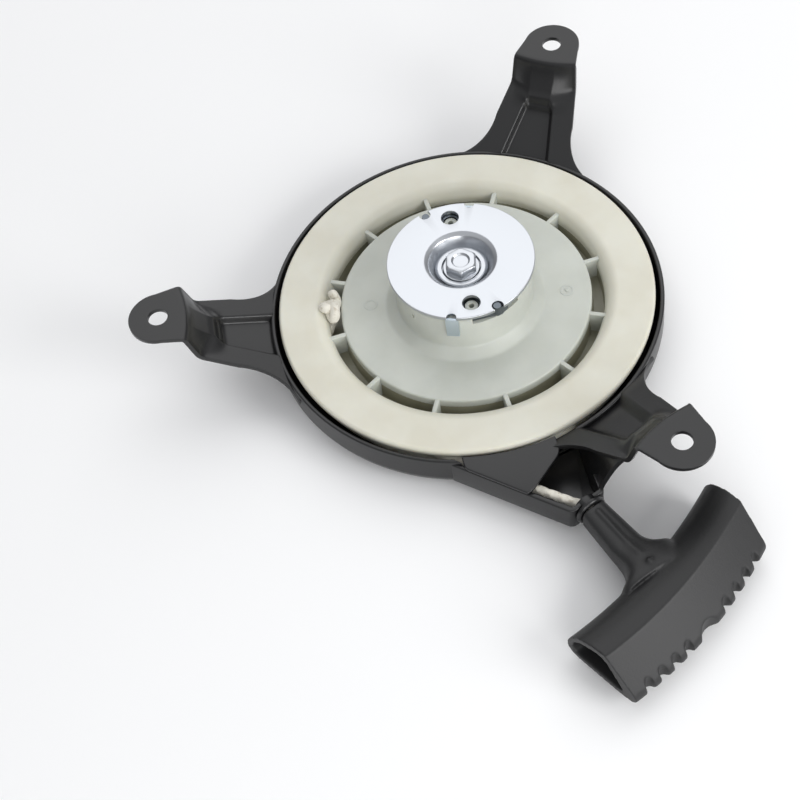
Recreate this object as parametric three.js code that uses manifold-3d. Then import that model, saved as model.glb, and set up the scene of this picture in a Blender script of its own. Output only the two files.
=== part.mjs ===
// Recoil starter for a small vertical-shaft engine: pressed housing, rope reel, spiral
// spring, ratchet with two swing-out pawls, pull rope and hollow T-grip.
// Millimetres. The origin is on the crank axis at the closed face, +Z points at the engine.
import * as THREE from "three";
import { mergeVertices } from "three/addons/utils/BufferGeometryUtils.js";
import Module from "manifold-3d";

const wasm = await Module();
wasm.setup();

// ---------- driving dimensions ----------
const GAP = 0.3; // clearance between pieces that touch
const SHEET = 1.5; // housing steel
const REEL_FACE_Z = 17.5; // engine-side face of the reel
const REEL_R = 65;
const ROPE_D = 3.2;
const ROPE_Z = 10.5; // height of the rope groove and of the pull
const TAB_TOP_Z = 38; // mounting plane of the three tabs
const HOLE_CIRCLE_R = 103;
const TAB_HOLE_R = 3.4; // M6 clearance
const TAB_R = 10;
const ARM_ANGLES = [180, 60, -60];
const PLATE_R = 25;
const PLATE_TOP_Z = 35.6;
const EXIT = [22, -89.5]; // rope exit in the nose
const PULL_ANGLE = -65; // direction in which the grip lies and is pulled

// ---------- derived dimensions ----------
const CUP_R = REEL_R + 3;
const CUP_INNER_R = CUP_R - SHEET;
const FACE_R = 65;
const RIM_TOP_Z = REEL_FACE_Z - 1.9;
const ARM_ROOT_Z = REEL_FACE_Z - 1;
const ARM_SLOPE = 0.48;
const RISER_FOOT_U = 91.5;
const RISER_HEAD_U = 94.5;
const RISER_BULGE = 3.6;
const CHANNEL_DEPTH = 2.4;
const NOSE_FLOOR_Z = 4.5;
const NOSE_TOP_Z = 14.2;
const GROOVE_R = 49.2;
const GROOVE_HALF = ROPE_D / 2 + 0.4;
const DISC_TOP_Z = REEL_FACE_Z - 2.5;
const DISC_R = 43.5;
const DRUM_R = 23.5;
const DRUM_TOP_Z = PLATE_TOP_Z - 1.4 - GAP;
const CHAMBER_Z = 26.6; // floor of the pawl chamber in the drum
const PAWL_Z = 30.2; // underside of the pawls
const POST_R = 7;
const POST_TOP_Z = 28.4;

const DEG = Math.PI / 180;
const polar = (r, deg, z = 0) => [r * Math.cos(deg * DEG), r * Math.sin(deg * DEG), z];
const turned = ([x, y], deg) => {
  const c = Math.cos(deg * DEG);
  const s = Math.sin(deg * DEG);
  return [x * c - y * s, x * s + y * c];
};

// ---------- solid helpers ----------
function solid(geometry) {
  const bare = new THREE.BufferGeometry();
  const source = geometry.index ? geometry.toNonIndexed() : geometry;
  bare.setAttribute("position", source.getAttribute("position"));
  const merged = mergeVertices(bare, 1e-4);
  const mesh = new wasm.Mesh({
    numProp: 3,
    vertProperties: merged.attributes.position.array,
    triVerts: new Uint32Array(merged.index.array),
  });
  return new wasm.Manifold(mesh);
}

function geometryOf(manifold) {
  const mesh = manifold.getMesh();
  const positions = new Float32Array(mesh.numVert * 3);
  for (let i = 0; i < mesh.numVert; i++) {
    positions.set(mesh.vertProperties.subarray(i * mesh.numProp, i * mesh.numProp + 3), i * 3);
  }
  const geometry = new THREE.BufferGeometry();
  geometry.setAttribute("position", new THREE.BufferAttribute(positions, 3));
  geometry.setIndex(new THREE.BufferAttribute(new Uint32Array(mesh.triVerts), 1));
  const faceted = geometry.toNonIndexed();
  faceted.computeVertexNormals();
  return faceted;
}

const moved = (body, x, y, z) => body.translate([x, y, z]);
const spun = (body, deg) => body.rotate([0, 0, deg]);
const united = (bodies) => bodies.reduce((a, b) => a.add(b));
const largest = (body) => body.decompose().reduce((a, b) => (b.volume() > a.volume() ? b : a));

function shapeOf(points) {
  return new THREE.Shape(points.map(([x, y]) => new THREE.Vector2(x, y)));
}

// Straight prism of a plan outline between two heights.
function prism(points, z0, z1) {
  const options = { depth: z1 - z0, bevelEnabled: false, steps: 1 };
  return moved(solid(new THREE.ExtrudeGeometry(shapeOf(points), options)), 0, 0, z0);
}

// Solid of revolution about Z. The profile is a list of [radius, z].
function lathe(profile, segments = 64) {
  const closed = [...profile, profile[0]];
  const points = closed.map(([r, z]) => new THREE.Vector2(r, z));
  const made = solid(new THREE.LatheGeometry(points, segments).rotateX(Math.PI / 2));
  if (made.volume() > 0) return made;
  const reversed = solid(new THREE.LatheGeometry(points.reverse(), segments).rotateX(Math.PI / 2));
  return reversed;
}

const disc = (r, z0, z1, segments = 32) =>
  lathe([[0, z0], [r, z0], [r, z1], [0, z1]], segments);
const ring = (r0, r1, z0, z1, segments = 48) =>
  lathe([[r0, z0], [r1, z0], [r1, z1], [r0, z1]], segments);

function arc(cx, cy, r, from, to, steps) {
  const points = [];
  for (let i = 0; i <= steps; i++) {
    const a = (from + ((to - from) * i) / steps) * DEG;
    points.push([cx + r * Math.cos(a), cy + r * Math.sin(a)]);
  }
  return points;
}

// Ring sector in plan.
const sector = (r0, r1, a0, a1, z0, z1, steps = 8) =>
  prism([...arc(0, 0, r1, a0, a1, steps), ...arc(0, 0, r0, a1, a0, steps)], z0, z1);

// Side profile of [u, z] points stretched across the width w, then turned about Z.
function crossPrism(profile, halfWidth, deg) {
  const options = { depth: 2 * halfWidth, bevelEnabled: false, steps: 1 };
  const geometry = new THREE.ExtrudeGeometry(shapeOf(profile), options);
  geometry.rotateX(Math.PI / 2).translate(0, halfWidth, 0);
  return spun(solid(geometry), deg);
}

class Route extends THREE.Curve {
  constructor(at) {
    super();
    this.at = at;
  }
  getPoint(t, target = new THREE.Vector3()) {
    return target.set(...this.at(t));
  }
}

// A tube of a regular section swept along a curve.
function tube(curve, radius, steps, sides = 8) {
  const section = shapeOf(arc(0, 0, radius, 0, 360 - 360 / sides, sides - 1));
  return solid(new THREE.ExtrudeGeometry(section, { steps, extrudePath: curve, bevelEnabled: false }));
}

function throughPoints(points) {
  return new THREE.CatmullRomCurve3(points.map((p) => new THREE.Vector3(...p)), false, "centripetal");
}

// ---------- materials ----------
const finish = (color, roughness, metalness) =>
  new THREE.MeshStandardMaterial({ color, roughness, metalness });
const black_paint = () => finish(0x2b2b2d, 0.38, 0.3);
const nylon = () => finish(0xd8d6c6, 0.45, 0);
const zinc = () => finish(0xdfe2e8, 0.22, 1);
const steel = () => finish(0x8d9196, 0.35, 1);
const spring_steel = () => finish(0x55595e, 0.3, 1);
const grip_plastic = () => finish(0x262626, 0.6, 0);
const rope_fibre = () => finish(0xe6dfce, 0.9, 0);

const starter = new THREE.Group();
starter.name = "recoil_starter";

function part(name, body, material) {
  const mesh = new THREE.Mesh(geometryOf(body), material);
  mesh.name = name;
  starter.add(mesh);
}

// ---------- housing ----------
const armTopZ = (u) => ARM_ROOT_Z + ARM_SLOPE * (u - CUP_R);

// Side profile of the region below the arm's sheet: sloping web, steep riser and flat tab.
// lead brings the riser's foot towards the reel.
function underArm(drop, lead = 0) {
  const far = HOLE_CIRCLE_R + TAB_R + 2;
  const foot = RISER_FOOT_U - lead;
  return [
    [55, -5],
    [55, armTopZ(55) - drop],
    [foot + drop * 0.35, armTopZ(foot) - drop],
    [RISER_HEAD_U + drop * 0.75, TAB_TOP_Z - drop],
    [far, TAB_TOP_Z - drop],
    [far, -5],
  ];
}

// The region below the sheet, with the riser's foot bulged inwards over the arm's middle.
function belowSheet(drop) {
  const wide = 40;
  return crossPrism(underArm(drop), wide, 0).add(crossPrism(underArm(drop, RISER_BULGE), 5, 0));
}

// Half outline of an arm on its left side, from the cup to the middle of the rounded tab end.
function armHalf() {
  const flare = arc(79.6, 32.5, 18, 202, 270, 6);
  const tab = arc(HOLE_CIRCLE_R, 0, TAB_R, 90, 0, 8);
  return [polar(60, 22).slice(0, 2), ...flare, [RISER_FOOT_U - 1, 12.4], [RISER_HEAD_U + 1, 11.4], ...tab];
}

function armOutline() {
  const half = armHalf();
  const mirrored = half.slice(0, -1).reverse().map(([u, w]) => [u, -w]);
  return [...half, ...mirrored];
}

// The sunk channel that stiffens an arm; grow widens it by the sheet on the underside.
function channelOutline(grow) {
  const foot = RISER_FOOT_U - RISER_BULGE - 1 + grow;
  return [[60, 10 + grow], [foot, 4.8 + grow], [foot, -4.8 - grow], [60, -10 - grow]];
}

function arm(deg) {
  const top = belowSheet(0);
  const bottom = belowSheet(SHEET);
  const sunkTop = belowSheet(CHANNEL_DEPTH);
  const sunkBottom = belowSheet(CHANNEL_DEPTH + SHEET);
  const pocket = prism(channelOutline(0), -10, 60);
  const pocketBelow = prism(channelOutline(SHEET), -10, 60);
  const upper = top.subtract(top.subtract(sunkTop).intersect(pocket));
  const lower = bottom.subtract(bottom.subtract(sunkBottom).intersect(pocketBelow));
  const plan = prism(armOutline(), -4, 60);
  const hole = moved(disc(TAB_HOLE_R, 0, 60, 24), HOLE_CIRCLE_R, 0, 0);
  return spun(upper.subtract(lower).intersect(plan).subtract(hole), deg);
}

const cupWall = () => lathe([
  [0, 0], [FACE_R - 0.8, 0], [FACE_R, 0.8], [FACE_R, 2.2], [CUP_R - 1, 3.6], [CUP_R, 6],
  [CUP_R, RIM_TOP_Z - 0.5], [CUP_R - 0.4, RIM_TOP_Z], [CUP_INNER_R, RIM_TOP_Z],
  [CUP_INNER_R, 6], [CUP_INNER_R - 1, 4.8], [FACE_R - SHEET, 3.2], [FACE_R - SHEET, SHEET], [0, SHEET],
], 72);

// Plan of the nose: a straight wall from the cup to the rope exit, and the wall beside the arm.
const EXIT_HALF = 6.5;
const besideExit = (side) => {
  const [dx, dy] = turned([0, side * EXIT_HALF], PULL_ANGLE);
  return [EXIT[0] + dx, EXIT[1] + dy];
};
const NOSE = [[-18.5, -65], besideExit(-1), besideExit(1), [25.5, -58], [-12, -58]];

const GUARD = [[-13.4, -69], [4.2, -82.9], [6.4, -81.5], [16.6, -71], [17.6, -68.4], [17, -62], [-14, -62]];

// Plan outline moved inwards by d.
function inset(points, d) {
  const n = points.length;
  return points.map((p, i) => {
    const a = points[(i + n - 1) % n];
    const b = points[(i + 1) % n];
    const e0 = new THREE.Vector2(p[0] - a[0], p[1] - a[1]).normalize();
    const e1 = new THREE.Vector2(b[0] - p[0], b[1] - p[1]).normalize();
    const bend = 1 + e0.dot(e1);
    return [p[0] - (d * (e0.y + e1.y)) / bend, p[1] + (d * (e0.x + e1.x)) / bend];
  });
}

// Closed solid whose top and bottom follow the same spatial outline.
function web(corners, thickness) {
  const flat = corners.map(([x, y]) => new THREE.Vector2(x, y));
  const faces = THREE.ShapeUtils.triangulateShape(flat, []);
  const n = corners.length;
  const at = (i, drop) => [corners[i][0], corners[i][1], corners[i][2] - drop];
  const points = [];
  for (const [a, b, c] of faces) {
    points.push(...at(a, 0), ...at(b, 0), ...at(c, 0));
    points.push(...at(a, thickness), ...at(c, thickness), ...at(b, thickness));
  }
  for (let i = 0; i < n; i++) {
    const j = (i + 1) % n;
    points.push(...at(i, 0), ...at(i, thickness), ...at(j, thickness));
    points.push(...at(i, 0), ...at(j, thickness), ...at(j, 0));
  }
  const geometry = new THREE.BufferGeometry();
  geometry.setAttribute("position", new THREE.BufferAttribute(new Float32Array(points), 3));
  return solid(geometry);
}

// Web between the arm beside the nose and the rope exit, falling towards the exit.
function noseWeb() {
  const armSide = (u, w) => [...turned([u, w], -60), armTopZ(u)];
  return web([
    [24.5, -64, NOSE_TOP_Z + 1], [26, -80, NOSE_TOP_Z + 1], [27, -87, NOSE_TOP_Z + 1],
    [30.5, -87.3, NOSE_TOP_Z + 4], armSide(91, -14), armSide(91, -10), armSide(75, -11),
  ], SHEET);
}

const alongPull = (distance, z = ROPE_Z) => {
  const [dx, dy] = polar(distance, PULL_ANGLE);
  return [EXIT[0] + dx, EXIT[1] + dy, z];
};

// Cylinder along the pull direction, from one distance to another outside the exit.
function pullRod(r, from, to, sides = 20) {
  const rod = disc(r, from, to, sides).rotate([0, 90, 0]);
  return moved(spun(rod, PULL_ANGLE), EXIT[0], EXIT[1], ROPE_Z);
}

function nose() {
  const shell = prism(NOSE, NOSE_FLOOR_Z, NOSE_TOP_Z);
  const hollow = prism(inset(NOSE, SHEET), NOSE_FLOOR_Z + SHEET, NOSE_TOP_Z + 5);
  return shell.subtract(hollow).subtract(disc(CUP_INNER_R, -5, 60, 72));
}

function housing() {
  const mouth = prism(inset(NOSE, SHEET), NOSE_FLOOR_Z + SHEET, 60);
  const wall = cupWall().subtract(mouth);
  const inside = disc(CUP_INNER_R, SHEET * 2, 60, 72);
  const arms = united(ARM_ANGLES.map(arm)).subtract(inside);
  const body = united([wall, arms, nose(), noseWeb().subtract(inside)]);
  const seat = prism(inset(GUARD, -GAP), NOSE_TOP_Z, 60);
  return body.subtract(seat).subtract(pullRod(4.5, -4, 4));
}

// Flat triangular plate spot-welded over the nose, which keeps the rope in its groove.
function guardPlate() {
  const top = NOSE_TOP_Z + GAP;
  const flat = prism(GUARD, top, top + 1.2);
  return flat.subtract(disc(REEL_R + 1, -5, 60, 72));
}

function exitEyelet() {
  const barrel = [[3, -2.4], [4.2, -2.4], [4.2, GAP]];
  const lip = [[5.4, GAP], [5.4, 1.2], [4.8, 1.9], [3.6, 1.9], [3, 1.2]];
  const profile = [...barrel, ...lip];
  const body = lathe(profile, 24).rotate([0, 90, 0]);
  return moved(spun(body, PULL_ANGLE), EXIT[0], EXIT[1], ROPE_Z);
}

// Post riveted to the closed face; its head carries the thread for the centre bolt.
const centrePost = () => lathe([
  [2.6, SHEET + GAP], [12, SHEET + GAP], [12, 3.2], [POST_R, 4.6], [POST_R, POST_TOP_Z], [2.6, POST_TOP_Z],
], 32);

// ---------- recoil spring ----------
function recoilSpring() {
  const inner = 13.5;
  const outer = 39.5;
  const turns = 5;
  const half = 0.45;
  const steps = 26 * turns;
  const radius = (t) => inner + (outer - inner) * t;
  const point = (t, offset) => {
    const a = -360 * turns * t * DEG;
    const r = radius(t) + offset;
    return [r * Math.cos(a), r * Math.sin(a)];
  };
  const outside = [];
  const inside = [];
  for (let i = 0; i <= steps; i++) {
    outside.push(point(i / steps, half));
    inside.push(point(i / steps, -half));
  }
  return prism([...inside, ...outside.reverse()], 3.6, 10.6);
}

// ---------- reel ----------
function reelBody() {
  const low = ROPE_Z - GROOVE_HALF;
  const high = ROPE_Z + GROOVE_HALF;
  return lathe([
    [9.2, 5], [13, 5], [13, 12.4], [40.8, 12.4], [40.8, 3.6], [GROOVE_R + 1, 3.6], [62, 6], [62, low],
    [GROOVE_R, low], [GROOVE_R, high], [REEL_R - 0.5, high + 1],
    [REEL_R, REEL_FACE_Z - 0.8], [REEL_R - 0.8, REEL_FACE_Z], [51.6, REEL_FACE_Z],
    [50, REEL_FACE_Z - 1.2], [47.8, high + 0.6], [47.8, 5.4], [DISC_R, 5.4],
    [DISC_R, DISC_TOP_Z], [26.6, DISC_TOP_Z],
    [DRUM_R, DISC_TOP_Z + 2.4], [DRUM_R, DRUM_TOP_Z], [DRUM_R - 2, DRUM_TOP_Z], [DRUM_R - 2, CHAMBER_Z],
    [9.2, CHAMBER_Z],
  ], 60);
}

// Rib across the slot between the disc and the flange.
function rib(deg) {
  const high = ROPE_Z + GROOVE_HALF;
  const inner = DISC_R - 1;
  const profile = [
    [inner, 4.6], [GROOVE_R - 0.8, 4.6], [GROOVE_R - 0.8, high + 0.4], [50.6, high + 1.4],
    [50.6, DISC_TOP_Z], [inner, DISC_TOP_Z],
  ];
  return crossPrism(profile, 0.8, deg);
}

const PAWL_PIVOT = [0, -18.5];
const PAWL_HUB_R = 4;
const RIB_OFFSET = 6.5;
const KNOT_ANGLE = 172;

function reel() {
  const ribs = [];
  for (let k = 0; k < 12; k++) ribs.push(rib(RIB_OFFSET + 30 * k));
  const boss = moved(ring(0.9, 2.3, CHAMBER_Z - 1, 33.4, 20), ...PAWL_PIVOT, 0);
  const pocket = moved(disc(PAWL_HUB_R + GAP, PAWL_Z - GAP, 60, 24), ...PAWL_PIVOT, 0);
  const windows = [0, 180].flatMap((a) => [
    sector(DRUM_R - 4, DRUM_R + 3, a - 92, a - 48, PAWL_Z - GAP, 60, 6),
    spun(pocket, a),
  ]);
  let body = united([reelBody(), ...ribs]);
  body = body.subtract(united(windows));
  body = united([body, boss, spun(boss, 180)]);
  const crossing = [...wallCrossing(), polar(ROPE_START_R + 0.2, WOUND_FROM + 1, ROPE_Z)];
  const hole = tube(throughPoints(crossing), ROPE_D / 2 + 0.8, 6, 8);
  return body.subtract(hole);
}

const reelBush = () => ring(POST_R + GAP, 9.2 - GAP, 5.4, 26.2, 40);

// ---------- rope ----------
const ROPE_START_R = GROOVE_R + ROPE_D / 2 + 0.8;
const ROPE_PITCH = 3.4;
const EXIT_R = Math.hypot(...EXIT);
const EXIT_ANGLE = Math.atan2(EXIT[1], EXIT[0]) / DEG;
const WOUND_FROM = KNOT_ANGLE + 16;
const LEAVE_R = ROPE_START_R + 2.14 * ROPE_PITCH;
const LEAVE_ANGLE = EXIT_ANGLE - Math.acos(LEAVE_R / EXIT_R) / DEG;
const WOUND_TO = LEAVE_ANGLE + 360 * 3;
const WOUND_SPAN = WOUND_TO - WOUND_FROM;
const WOUND_RISE = (LEAVE_R - ROPE_START_R) / WOUND_SPAN;

function wallCrossing() {
  const steps = [[45.9, -3], [46.6, 1.5], [48.2, 6], [50.4, 11]];
  return steps.map(([r, a]) => polar(r, KNOT_ANGLE + a, ROPE_Z));
}

// Spiral of wound rope, from its way in through the groove's floor to where it leaves the reel.
function woundRope() {
  const start = wallCrossing();
  const turns = [];
  const perTurn = 24;
  const count = Math.round((WOUND_SPAN / 360) * perTurn);
  for (let i = 0; i <= count; i++) {
    const a = (WOUND_SPAN * i) / count;
    turns.push(polar(ROPE_START_R + WOUND_RISE * a, WOUND_FROM + a, ROPE_Z));
  }
  const curve = throughPoints([...start, ...turns]);
  return tube(curve, ROPE_D / 2, 84, 8);
}

// Rope from the reel through the eyelet and the grip's stem to its knot.
function ropeRun() {
  const leave = polar(LEAVE_R, LEAVE_ANGLE, ROPE_Z);
  const toExit = (t) => leave.map((v, i) => v + ([...EXIT, ROPE_Z][i] - v) * t);
  const inNose = [0.06, 0.45, 0.88].map(toExit);
  const pastExit = [-0.6, 3, 16, KNOT_SEAT + 1.6].map((d) => alongPull(d));
  const points = [...inNose, ...pastExit];
  return tube(throughPoints(points), ROPE_D / 2, 30, 8);
}

// An overhand knot, simplified to a closed trefoil bight joined from six lengths of rope.
function knot(size) {
  const lengths = 6;
  const bights = [];
  for (let k = 0; k < lengths; k++) {
    const bight = new Route((t) => {
      const a = (2 * Math.PI * (k + t * 1.08)) / lengths;
      return [
        size * (Math.sin(a) + 1.5 * Math.sin(2 * a)),
        size * (Math.cos(a) - 1.5 * Math.cos(2 * a)),
        size * -1.15 * Math.sin(3 * a),
      ];
    });
    bights.push(tube(bight, ROPE_D / 2, 6, 6));
  }
  return largest(united(bights));
}

// Knot lying along the slot between two ribs of the reel.
function reelKnot() {
  const flat = knot(1.05).rotate([0, 0, 90]).scale([0.7, 1.3, 0.85]);
  return moved(spun(flat, KNOT_ANGLE), ...polar(46.6, KNOT_ANGLE, DISC_TOP_Z + 1.8));
}

// ---------- ratchet ----------
const NOTCHES = [[-70, 2, 23.9], [-108, 1.7, 24.6]];

function ratchetPlate() {
  const under = PLATE_TOP_Z - 1.4;
  let body = lathe([
    [6.2, 29.2], [9, 29.2], [9.8, 29.6], [11.6, under - 0.6], [12.6, under], [PLATE_R, under],
    [PLATE_R, PLATE_TOP_Z], [12.2, PLATE_TOP_Z], [11, PLATE_TOP_Z - 0.6], [9, 31], [8.4, 30.6], [6.2, 30.6],
  ], 48);
  for (const half of [0, 180]) {
    const hole = moved(disc(3.1, 20, 60, 20), 0, 19, 0);
    body = body.subtract(spun(hole, half));
    for (const [deg, r, at] of NOTCHES) {
      body = body.subtract(spun(moved(disc(r, 20, 60, 16), at, 0, 0), half + deg));
    }
    const lug = sector(DRUM_R + 0.45, PLATE_R, -113, -103, 25.6, under + 0.4, 3);
    body = body.add(spun(lug, half));
  }
  return body;
}

const pawlPeg = () => spun(moved(disc(1.3, PAWL_Z + 1, PLATE_TOP_Z - 0.4, 16), 23.4, 0, 0), -70);

// Dog that swings out past the drum; its peg sits in the plate's round notch.
function pawl() {
  const hub = arc(...PAWL_PIVOT, PAWL_HUB_R, 60, 262, 9);
  const outline = [...hub, [4, -22.3], [9.4, -22.2], [11.8, -20], [11.4, -18.6], [7.4, -17.6]];
  const bore = moved(disc(2.3 + GAP, 0, 60, 20), ...PAWL_PIVOT, 0);
  return prism(outline, PAWL_Z, PLATE_TOP_Z - 1.9).subtract(bore).add(pawlPeg());
}

// Torsion spring under a pawl that folds it back into the drum.
function pawlSpring() {
  const turns = 3;
  const coil = new Route((t) => {
    const a = t * turns * 360;
    const [x, y] = polar(2.65, a);
    return [PAWL_PIVOT[0] + x, PAWL_PIVOT[1] + y, CHAMBER_Z + 0.7 + t * 1.7];
  });
  return tube(coil, 0.25, 36, 6);
}

// Open coil around the post's top that presses the plate and brakes it against the reel.
function frictionSpring() {
  const coil = new Route((t) => {
    const [x, y] = polar(8.4, t * 2 * 360);
    return [x, y, 27.3 + t * 1.1];
  });
  return tube(coil, 0.25, 40, 6);
}

const frictionWasher = () => ring(6.6, 8.2, 30.6 + GAP, 31.9, 40);

function hexagon(flats) {
  return arc(0, 0, flats / Math.sqrt(3), 20, 320, 5);
}

function centreBolt() {
  const shank = disc(2.3, 12, 31.2, 24);
  const flange = disc(6.2, 30.95, 31.8, 32);
  const head = prism(hexagon(10), 31.5, 35.2);
  const recess = disc(3.4, 34.6, 40, 24);
  return united([shank, flange, head]).subtract(recess);
}

// ---------- grip ----------
// Grip frame: x along the pull, y across, z up; placed on the exit afterwards.
const GRIP_CENTRE = 41;
const GRIP_SLANT = 13;
const GRIP_HALF = 33.5;
const GRIP_WIDTH = 28;
const GRIP_BOTTOM = -7.3;
const GRIP_BOW = 3.7; // how far the bar's middle stands out from its ends, away from the stem
const STEM_HALF = 6;
const KNOT_SEAT = GRIP_CENTRE - GRIP_WIDTH / 2 + 6.4;

// Section of the grip across its length: s from the stem side, height from the bottom.
const GRIP_SECTION = [
  [0, 4.5], [1.2, 1.4], [4.2, 0], [22.5, 0], [26.8, 1.2], [28, 3.4], [27.4, 5.6], [18.6, 15.2],
  [15.6, 16.6], [11.5, 16.4], [5, 13.6], [1.4, 9.6],
];

// Where the bar's stem side runs, at y across the pull.
const barInner = (y) =>
  GRIP_CENTRE - GRIP_WIDTH / 2 - Math.tan(GRIP_SLANT * DEG) * y - GRIP_BOW * (y / GRIP_HALF) ** 2;

// The ends aren't square to the bar: the notched side lies further along it, most at the near end.
const endSkew = (s, y) => (s / GRIP_WIDTH) * (3 - 1.4 * (y / GRIP_HALF));

function gripSolid(section, halfLength) {
  const profile = section.map(([s, h]) => [s, h + GRIP_BOTTOM]);
  const options = { depth: 2 * halfLength, bevelEnabled: false, steps: 12 };
  const geometry = new THREE.ExtrudeGeometry(shapeOf(profile), options);
  geometry.rotateX(Math.PI / 2).translate(0, halfLength, 0);
  const place = geometry.getAttribute("position");
  for (let i = 0; i < place.count; i++) {
    const s = place.getX(i);
    const y = place.getY(i);
    place.setX(i, barInner(y) + s);
    place.setY(i, y + endSkew(s, y));
  }
  return solid(geometry);
}

// Finger notches: four on each side of a wide middle scallop, cut along Z.
function notchCutter() {
  const round = (r, y, out) =>
    moved(disc(r, -20, 20, 16), barInner(y) + GRIP_WIDTH + out, y + endSkew(GRIP_WIDTH, y), 0);
  const cutters = [round(5, 0, 2.4)];
  for (const side of [-1, 1]) {
    for (const at of [9.5, 15.3, 21.1, 26.9]) {
      cutters.push(round(1.5, side * at, -1.2), round(1.5, side * at, 0.6));
    }
  }
  return united(cutters);
}

// Plan of the stem with its fillets into the grip's inner edge.
function stemOutline() {
  const r = 10;
  const y = STEM_HALF + r;
  const left = arc(barInner(y) + 2 - r, y, r, 270, 350, 6);
  const right = arc(barInner(-y) + 2 - r, -y, r, 10, 90, 6);
  return [[2.4, 5.2], ...left, [GRIP_CENTRE, 14], [GRIP_CENTRE, -14], ...right, [2.4, -5.2]];
}

function handleSolid() {
  const outer = gripSolid(GRIP_SECTION, GRIP_HALF);
  const hollowSection = [
    [2.4, 5], [3.6, 2.6], [5, 2.2], [21.5, 2.2], [23.4, 3.4],
    [16.8, 12.4], [15, 14], [11.8, 13.8], [6, 11.4], [3.2, 8.2],
  ];
  const hollow = gripSolid(hollowSection, GRIP_HALF + 5);
  const stem = prism(stemOutline().reverse(), -4.8, 4.8);
  const topRib = prism([[4, -1.2], [30, -1.2], [30, 1.2], [4, 1.2]], 4, 5.8);
  const bore = disc(ROPE_D / 2 + 0.9, -5, KNOT_SEAT + 1.6, 16).rotate([0, 90, 0]);
  const body = outer.subtract(notchCutter());
  const seat = disc(4.4, KNOT_SEAT - 5, KNOT_SEAT - GAP, 20).rotate([0, 90, 0]);
  return united([body, stem, topRib]).subtract(hollow).add(seat).subtract(bore);
}

const placedOnPull = (body) => moved(spun(body, PULL_ANGLE), EXIT[0], EXIT[1], ROPE_Z);
function knotWasher() {
  const upright = ring(ROPE_D / 2 + 0.5, 3.6, KNOT_SEAT, KNOT_SEAT + 1, 24);
  return placedOnPull(upright.rotate([0, 90, 0]));
}

// ---------- assembly ----------
part("housing", housing(), black_paint());
part("rope_guard_plate", guardPlate(), black_paint());
part("exit_eyelet", exitEyelet(), steel());
part("centre_post", centrePost(), steel());
part("recoil_spring", recoilSpring(), spring_steel());
part("reel", reel(), nylon());
part("reel_bush", reelBush(), steel());
part("rope_wound", woundRope(), rope_fibre());
part("rope_run", ropeRun(), rope_fibre());
part("reel_knot", reelKnot(), rope_fibre());
part("ratchet_plate", ratchetPlate(), zinc());
part("friction_spring", frictionSpring(), spring_steel());
part("friction_washer", frictionWasher(), zinc());
part("centre_bolt", centreBolt(), zinc());
part("handle", placedOnPull(handleSolid()), grip_plastic());
part("handle_knot_washer", knotWasher(), zinc());
part("handle_knot", moved(knot(1.05).rotate([0, 90, 0]), ...alongPull(KNOT_SEAT + 6.2)), rope_fibre());
for (const [index, half] of [[1, 0], [2, 180]]) {
  part(`pawl_${index}`, spun(pawl(), half), steel());
  part(`pawl_spring_${index}`, spun(pawlSpring(), half), spring_steel());
}

export default starter;
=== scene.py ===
"""Looks of the recoil starter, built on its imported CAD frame.

Every size below is in millimetres in the part's frame: the origin is on the crank axis at the
closed face, and +Z points at the engine. Meshes are scaled to metres when they are made.
"""
import math

import bmesh
import bpy
from mathutils import Matrix, Vector


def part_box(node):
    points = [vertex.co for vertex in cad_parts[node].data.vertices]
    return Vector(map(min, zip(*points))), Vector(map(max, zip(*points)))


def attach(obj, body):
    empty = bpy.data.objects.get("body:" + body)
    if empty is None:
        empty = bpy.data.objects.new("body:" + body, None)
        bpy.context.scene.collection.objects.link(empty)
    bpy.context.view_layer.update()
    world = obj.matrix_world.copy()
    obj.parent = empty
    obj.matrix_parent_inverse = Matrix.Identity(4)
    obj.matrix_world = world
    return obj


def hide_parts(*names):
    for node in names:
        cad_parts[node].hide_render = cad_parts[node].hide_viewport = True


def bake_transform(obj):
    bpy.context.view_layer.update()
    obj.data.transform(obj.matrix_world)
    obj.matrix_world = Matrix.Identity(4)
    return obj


MM = 0.001
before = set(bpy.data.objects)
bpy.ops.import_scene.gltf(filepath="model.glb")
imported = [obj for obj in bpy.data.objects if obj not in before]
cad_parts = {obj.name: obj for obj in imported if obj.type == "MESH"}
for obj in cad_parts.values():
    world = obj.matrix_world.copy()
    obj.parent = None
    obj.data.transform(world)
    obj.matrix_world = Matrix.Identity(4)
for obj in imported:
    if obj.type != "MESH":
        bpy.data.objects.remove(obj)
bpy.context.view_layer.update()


def box_mm(node):
    low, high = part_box(node)
    return low / MM, high / MM


# ---------- driving dimensions, from the frame ----------
REEL_R = box_mm("reel")[1].x
TAB_TOP_Z = box_mm("housing")[1].z
TAB_END_U = -box_mm("housing")[0].x
PLATE_R = 25.0
PLATE_TOP_Z = box_mm("ratchet_plate")[1].z
BOLT_TOP_Z = box_mm("centre_bolt")[1].z
GUARD_TOP_Z = box_mm("rope_guard_plate")[1].z
ROPE_R = 1.6
ROPE_Z = 10.5
REEL_FACE_Z = 17.5
SHEET = 1.5
TAB_R = 10.0
HOLE_CIRCLE_R = TAB_END_U - TAB_R
TAB_HOLE_R = 3.4
CUP_R = REEL_R + 3
FACE_R = 65.0
ARM_ANGLES = (180, 60, -60)
EXIT = Vector((22, -89.5, ROPE_Z))
PULL_ANGLE = -65
DISC_Z = REEL_FACE_Z - 2.5
DISC_R = 43.5
DRUM_R = 23.5
DRUM_TOP_Z = box_mm("reel")[1].z
CHAMBER_Z = 26.6
PAWL_Z = 29.9
PAWL_PIVOT_R = 18.5
PLATE_UNDER_Z = PLATE_TOP_Z - 1.4
ABOVE_ALL = 60
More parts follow.
